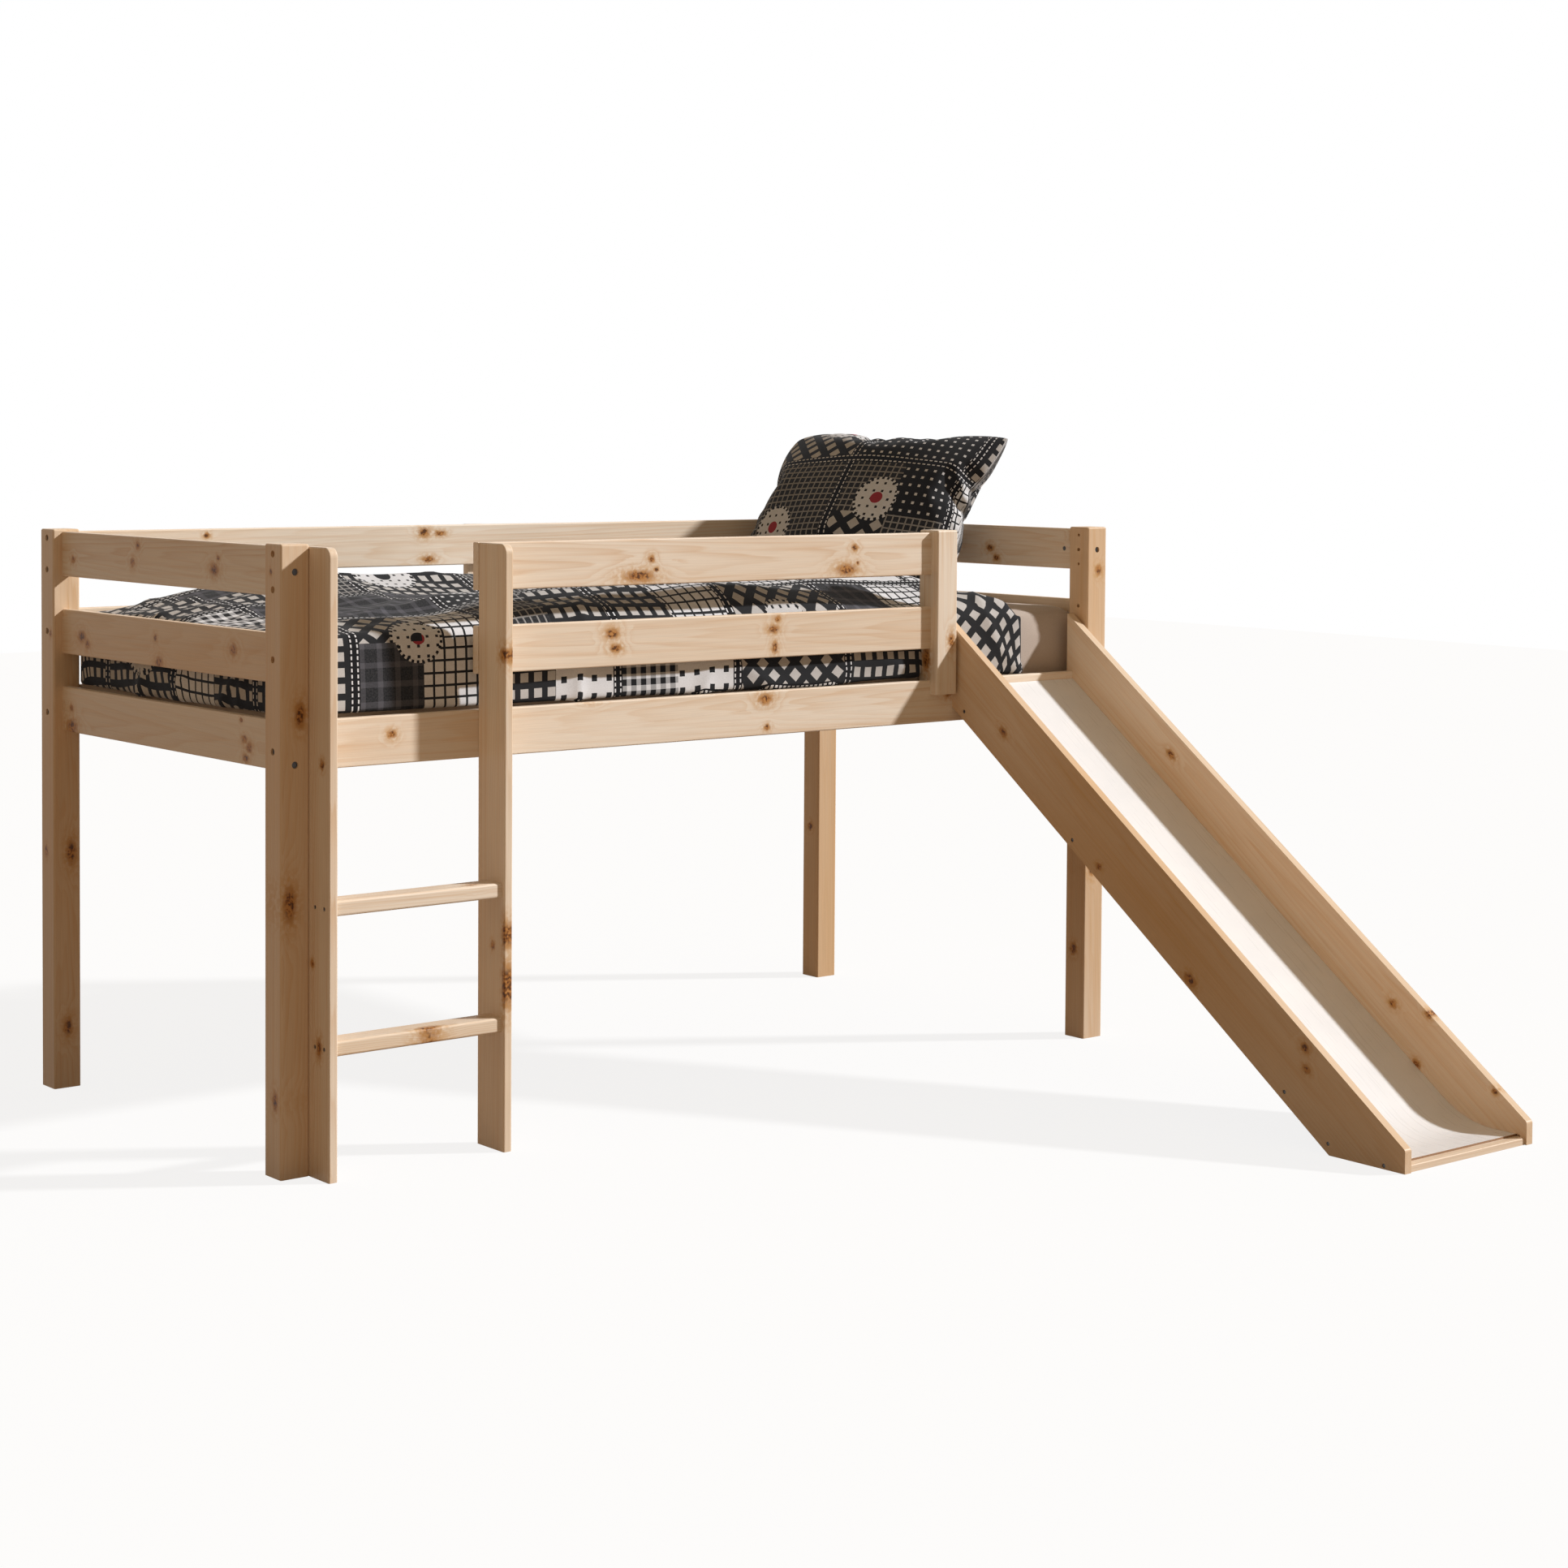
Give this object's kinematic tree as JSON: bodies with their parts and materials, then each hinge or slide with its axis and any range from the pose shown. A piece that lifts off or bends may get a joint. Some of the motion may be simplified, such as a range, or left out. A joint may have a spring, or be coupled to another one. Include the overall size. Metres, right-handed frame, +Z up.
{
  "type": "loft bed with slide",
  "caption": "Low children's loft bed in pine with board guard rails, a ladder and a straight slide, made up with a mattress, a patchwork duvet and a pillow.",
  "frame": {"origin": "on the floor, under the middle of the whole part's box", "axes": "+X along the bed from the ladder end to the slide end, +Y from the slide's foot to the bed's back, +Z up"},
  "size_m": [2.1392, 2.178, 1.3442],
  "materials": {
    "pine": "knotty pine, clear satin lacquer",
    "beech": "bare fluted dowel rod",
    "zinc_plated_steel": "zinc plated, in shadow in its holes",
    "white_laminate": "white melamine laminate, half gloss",
    "fitted_sheet": "plain woven cotton, warm grey",
    "patchwork_print": "printed cotton, dark checks with white and a little red"
  },
  "bodies": {
    "root": {"post_front_left": "pine", "post_front_right": "pine", "post_rear_left": "pine", "post_rear_right": "pine", "front_side_rail": "pine", "rear_side_rail": "pine", "rear_guard_lower": "pine", "rear_guard_upper": "pine", "left_end_rail": "pine", "left_end_guard_lower": "pine", "left_end_guard_upper": "pine", "right_end_rail": "pine", "right_end_guard_lower": "pine", "right_end_guard_upper": "pine", "ladder_stile_left": "pine", "ladder_stile_right": "pine", "ladder_rung_1": "pine", "ladder_rung_2": "pine", "guard_post": "pine", "front_guard_lower": "pine", "front_guard_upper": "pine", "rear_stiffener": "pine", "slat_ledger_front": "pine", "slat_ledger_rear": "pine", "slide_stringer_left": "pine", "slide_stringer_right": "pine", "slide_front_batten": "pine", "slide_cross_batten_1": "pine", "slide_cross_batten_2": "pine", "slide_cross_batten_3": "pine", "slide_cross_batten_4": "pine", "slat_01": "pine", "slat_02": "pine", "slat_03": "pine", "slat_04": "pine", "slat_05": "pine", "slat_06": "pine", "slat_07": "pine", "slat_08": "pine", "slat_09": "pine", "slat_10": "pine", "slat_11": "pine", "slat_12": "pine", "slat_13": "pine", "slat_14": "pine", "frame_bolts": "zinc_plated_steel", "barrel_nuts": "zinc_plated_steel", "ladder_screws": "zinc_plated_steel", "guard_post_screws": "zinc_plated_steel", "stiffener_screws": "zinc_plated_steel", "slat_screws": "zinc_plated_steel", "ledger_screws": "zinc_plated_steel", "slide_screws": "zinc_plated_steel", "dowels": "beech", "slide_panel": "white_laminate", "mattress": "fitted_sheet", "duvet": "patchwork_print", "pillow": "patchwork_print"}
  },
  "joints": []
}
